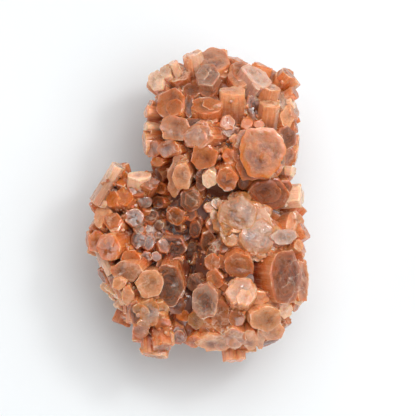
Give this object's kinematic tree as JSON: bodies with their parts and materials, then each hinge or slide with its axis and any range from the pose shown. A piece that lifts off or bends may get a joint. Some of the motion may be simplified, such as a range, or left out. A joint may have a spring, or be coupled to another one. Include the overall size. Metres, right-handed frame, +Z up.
{
  "type": "aragonite_sputnik_cluster",
  "caption": "Brownish orange aragonite sputnik cluster, a palm-sized natural group of radiating prisms with flat caps, lying on a small flat spot.",
  "frame": {"origin": "The middle of the cluster's outline as seen from the front, on the plane of its flat spot.", "axes": "Row frame in metres, +Z up. The cluster lies as in the picture seen from straight above: +X is the picture's right, +Y the picture's up and +Z points towards the camera."},
  "size_m": [0.0507, 0.0708, 0.039],
  "materials": {
    "aragonite": "translucent orange-brown prisms with waxy pale caps"
  },
  "bodies": {
    "root": {"aragonite_cluster": "aragonite"}
  },
  "joints": []
}
